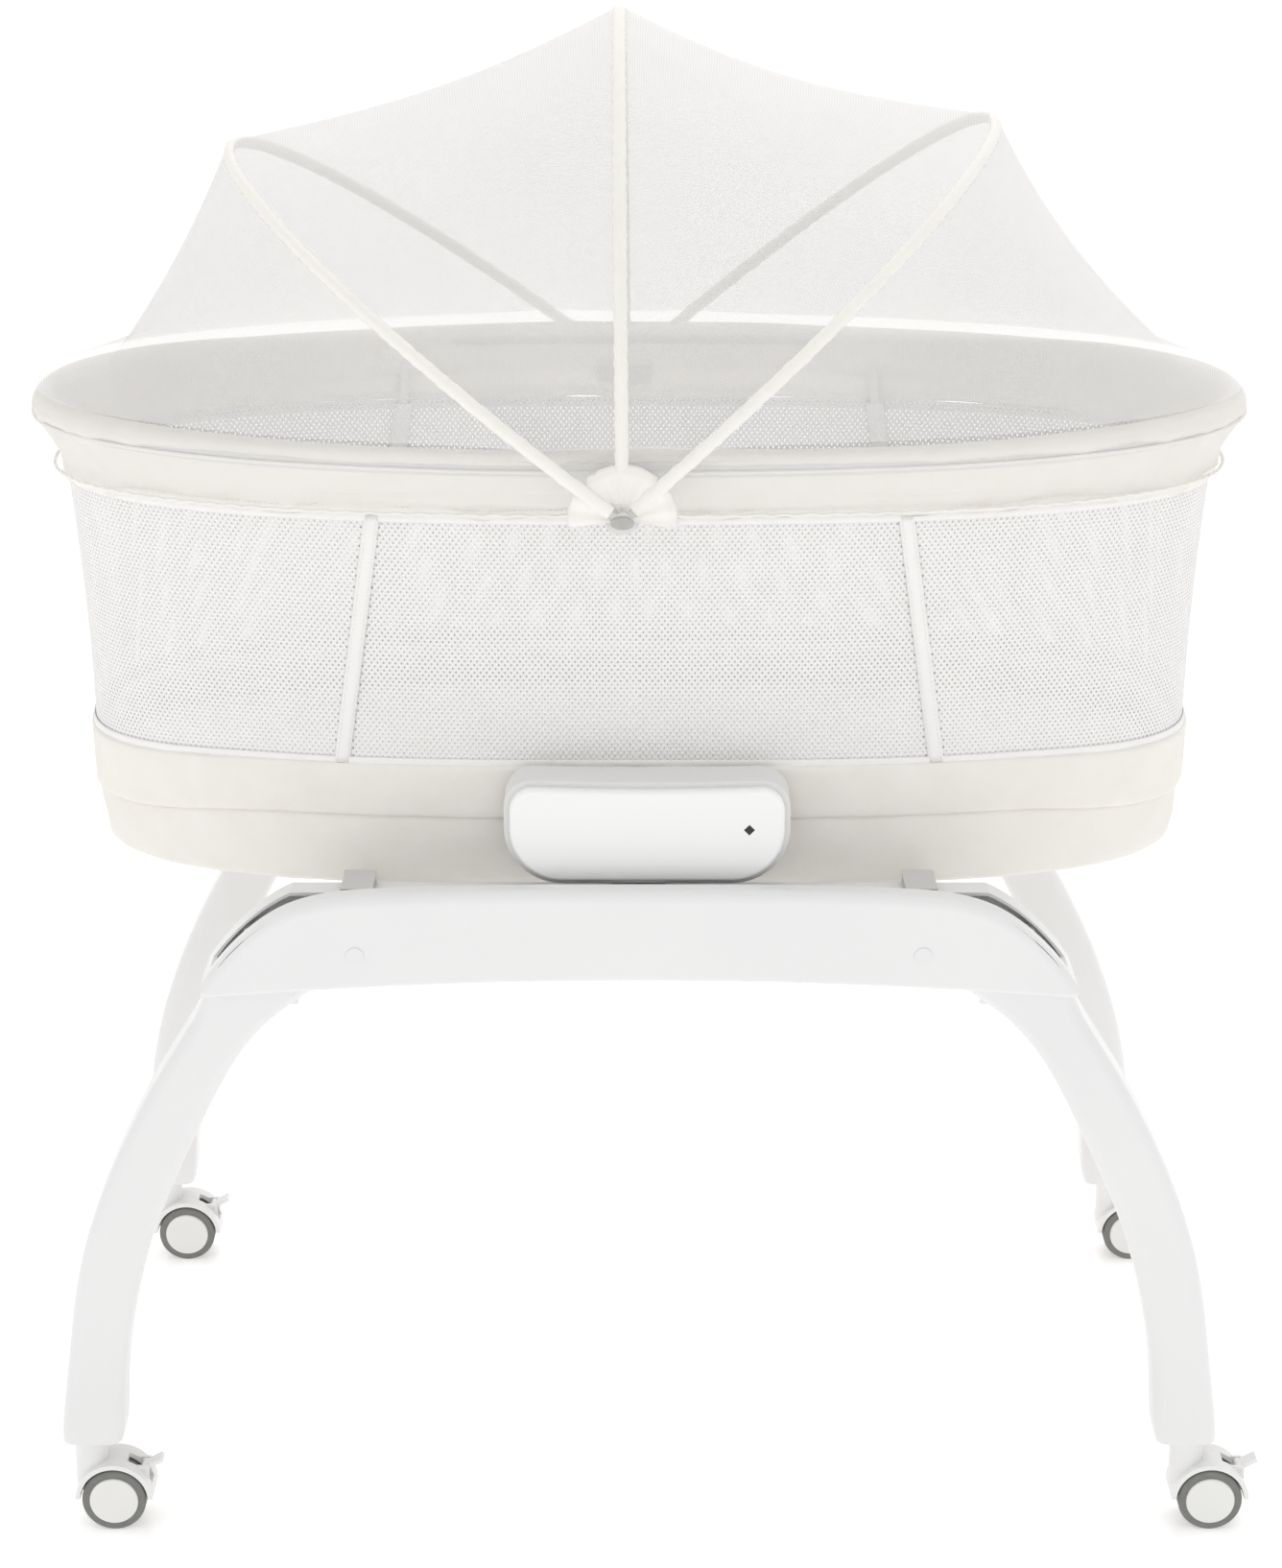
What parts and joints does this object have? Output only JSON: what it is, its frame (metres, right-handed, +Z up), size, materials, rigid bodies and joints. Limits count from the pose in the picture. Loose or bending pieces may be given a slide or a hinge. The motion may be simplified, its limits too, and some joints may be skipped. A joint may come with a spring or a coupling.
{
  "type": "bassinet on stand",
  "caption": "Rocking baby bassinet with mesh sides, padded rim and folding net canopy on a white wheeled stand with arched legs.",
  "frame": {"origin": "on the floor under the middle of the bassinet", "axes": "+X along the beams to the right, +Y from the control box side to the back, +Z up"},
  "size_m": [0.9599, 0.5782, 1.1494],
  "materials": {
    "white_plastic": "smooth satin white moulding",
    "soft_white_plastic": "matte off-white moulding",
    "dark_steel": "dark powder coat",
    "white_steel": "white powder coat",
    "bright_steel": "turned and zinc plated",
    "tyre_grey": "matte grey tread",
    "black_rubber": "matte",
    "hub_white": "smooth domed cap",
    "cream_fabric": "fine woven cotton, padded",
    "mesh_fabric": "knitted spacer mesh with diamond holes",
    "net_fabric": "very fine sheer insect netting",
    "mattress_fabric": "quilted ticking over foam",
    "tray_board": "plain board",
    "board_green": "solder mask",
    "lens_black": "gloss black window",
    "coil_copper": "enamelled copper winding",
    "magnet_grey": "nickel plated"
  },
  "bodies": {
    "stand": {"front_beam_cover": "white_plastic", "front_beam_back_cover": "white_plastic", "rear_beam_cover": "white_plastic", "rear_beam_back_cover": "white_plastic", "leg_front_left": "white_plastic", "leg_front_right": "white_plastic", "leg_rear_left": "white_plastic", "leg_rear_right": "white_plastic", "beam_frames": "dark_steel", "cross_tubes": "white_steel", "leg_bolts": "bright_steel", "link_pins": "bright_steel", "cover_plugs": "soft_white_plastic", "drive_coil": "coil_copper"},
    "link_front_left": {"link_front_left": "bright_steel"},
    "link_front_right": {"link_front_right": "bright_steel"},
    "link_rear_left": {"link_rear_left": "bright_steel"},
    "link_rear_right": {"link_rear_right": "bright_steel"},
    "cradle": {"carriage_frame": "dark_steel", "carriage_pins": "bright_steel", "support_pads": "black_rubber", "drive_magnet": "magnet_grey", "control_housing": "soft_white_plastic", "control_panel": "white_plastic", "indicator_lens": "lens_black", "circuit_board": "board_green", "base_tray": "tray_board", "base_cover": "cream_fabric", "mattress": "mattress_fabric", "lower_frame": "white_steel", "uprights": "white_steel", "upper_hoop": "white_steel", "mesh_wall": "mesh_fabric", "rim_pad": "cream_fabric", "hub_brackets": "soft_white_plastic", "hub_rivets": "bright_steel", "canopy_net": "net_fabric"},
    "bow_left": {"bow_left": "white_steel"},
    "bow_center": {"bow_center": "white_steel"},
    "bow_right": {"bow_right": "white_steel"},
    "caster_front_left": {"caster_front_left_housing": "white_plastic", "caster_front_left_pins": "bright_steel"},
    "caster_front_left_wheel": {"caster_front_left_tyres": "tyre_grey", "caster_front_left_hubs": "hub_white"},
    "caster_front_left_brake": {"caster_front_left_brake": "white_plastic"},
    "caster_front_right": {"caster_front_right_housing": "white_plastic", "caster_front_right_pins": "bright_steel"},
    "caster_front_right_wheel": {"caster_front_right_tyres": "tyre_grey", "caster_front_right_hubs": "hub_white"},
    "caster_front_right_brake": {"caster_front_right_brake": "white_plastic"},
    "caster_rear_left": {"caster_rear_left_housing": "white_plastic", "caster_rear_left_pins": "bright_steel"},
    "caster_rear_left_wheel": {"caster_rear_left_tyres": "tyre_grey", "caster_rear_left_hubs": "hub_white"},
    "caster_rear_left_brake": {"caster_rear_left_brake": "white_plastic"},
    "caster_rear_right": {"caster_rear_right_housing": "white_plastic", "caster_rear_right_pins": "bright_steel"},
    "caster_rear_right_wheel": {"caster_rear_right_tyres": "tyre_grey", "caster_rear_right_hubs": "hub_white"},
    "caster_rear_right_brake": {"caster_rear_right_brake": "white_plastic"}
  },
  "joints": [
    {"name": "swing", "type": "hinge", "parent": "stand", "child": "link_front_left", "pos_m": [-0.211, -0.259, 0.514], "axis": [0, 1, 0], "range_deg": [-20, 20], "stiffness_Nm_per_rad": 1600, "springref_deg": -1.2},
    {"name": "swing_front_right", "type": "hinge", "parent": "stand", "child": "link_front_right", "pos_m": [0.211, -0.259, 0.514], "axis": [0, 1, 0], "range_deg": [-20, 20], "stiffness_Nm_per_rad": 0.13},
    {"name": "swing_rear_left", "type": "hinge", "parent": "stand", "child": "link_rear_left", "pos_m": [-0.211, 0.259, 0.514], "axis": [0, 1, 0], "range_deg": [-20, 20], "stiffness_Nm_per_rad": 0.13},
    {"name": "swing_rear_right", "type": "hinge", "parent": "stand", "child": "link_rear_right", "pos_m": [0.211, 0.259, 0.514], "axis": [0, 1, 0], "range_deg": [-20, 20], "stiffness_Nm_per_rad": 0.13},
    {"name": "cradle_level", "type": "hinge", "parent": "link_front_left", "child": "cradle", "pos_m": [-0.211, -0.259, 0.484], "axis": [0, 1, 0], "range_deg": [-20, 20], "stiffness_Nm_per_rad": 1600, "springref_deg": -1.2},
    {"name": "canopy_fold", "type": "hinge", "parent": "cradle", "child": "bow_left", "pos_m": [-0.012, 0, 0.815], "axis": [0, 1, 0], "range_deg": [0, 104], "deforming": ["canopy_net"]},
    {"name": "canopy_fold_center", "type": "hinge", "parent": "cradle", "child": "bow_center", "pos_m": [-0.012, 0, 0.815], "axis": [0, 1, 0], "range_deg": [0, 60]},
    {"name": "canopy_fold_right", "type": "hinge", "parent": "cradle", "child": "bow_right", "pos_m": [-0.012, 0, 0.815], "axis": [0, 1, 0], "range_deg": [0, 16]},
    {"name": "caster_front_left_swivel", "type": "hinge", "parent": "stand", "child": "caster_front_left", "pos_m": [-0.429, -0.25, 0.07], "axis": [0, 0, 1], "continuous": true},
    {"name": "caster_front_left_roll", "type": "hinge", "parent": "caster_front_left", "child": "caster_front_left_wheel", "pos_m": [-0.411, -0.25, 0.025], "axis": [0, 1, 0], "continuous": true},
    {"name": "caster_front_left_brake_tilt", "type": "hinge", "parent": "caster_front_left", "child": "caster_front_left_brake", "pos_m": [-0.3875, -0.25, 0.0465], "axis": [0, 1, 0], "range_deg": [0, 14]},
    {"name": "caster_front_right_swivel", "type": "hinge", "parent": "stand", "child": "caster_front_right", "pos_m": [0.429, -0.25, 0.07], "axis": [0, 0, 1], "continuous": true},
    {"name": "caster_front_right_roll", "type": "hinge", "parent": "caster_front_right", "child": "caster_front_right_wheel", "pos_m": [0.447, -0.25, 0.025], "axis": [0, 1, 0], "continuous": true},
    {"name": "caster_front_right_brake_tilt", "type": "hinge", "parent": "caster_front_right", "child": "caster_front_right_brake", "pos_m": [0.4705, -0.25, 0.0465], "axis": [0, 1, 0], "range_deg": [0, 14]},
    {"name": "caster_rear_left_swivel", "type": "hinge", "parent": "stand", "child": "caster_rear_left", "pos_m": [-0.429, 0.25, 0.07], "axis": [0, 0, 1], "continuous": true},
    {"name": "caster_rear_left_roll", "type": "hinge", "parent": "caster_rear_left", "child": "caster_rear_left_wheel", "pos_m": [-0.411, 0.25, 0.025], "axis": [0, 1, 0], "continuous": true},
    {"name": "caster_rear_left_brake_tilt", "type": "hinge", "parent": "caster_rear_left", "child": "caster_rear_left_brake", "pos_m": [-0.3875, 0.25, 0.0465], "axis": [0, 1, 0], "range_deg": [0, 14]},
    {"name": "caster_rear_right_swivel", "type": "hinge", "parent": "stand", "child": "caster_rear_right", "pos_m": [0.429, 0.25, 0.07], "axis": [0, 0, 1], "continuous": true},
    {"name": "caster_rear_right_roll", "type": "hinge", "parent": "caster_rear_right", "child": "caster_rear_right_wheel", "pos_m": [0.447, 0.25, 0.025], "axis": [0, 1, 0], "continuous": true},
    {"name": "caster_rear_right_brake_tilt", "type": "hinge", "parent": "caster_rear_right", "child": "caster_rear_right_brake", "pos_m": [0.4705, 0.25, 0.0465], "axis": [0, 1, 0], "range_deg": [0, 14]}
  ],
  "couplings": [
    {"joint": "swing_front_right", "follows": "swing", "ratio": 1},
    {"joint": "swing_rear_left", "follows": "swing", "ratio": 1},
    {"joint": "swing_rear_right", "follows": "swing", "ratio": 1},
    {"joint": "cradle_level", "follows": "swing", "ratio": -1},
    {"joint": "canopy_fold_center", "follows": "canopy_fold", "ratio": 0.57},
    {"joint": "canopy_fold_right", "follows": "canopy_fold", "ratio": 0.15}
  ]
}
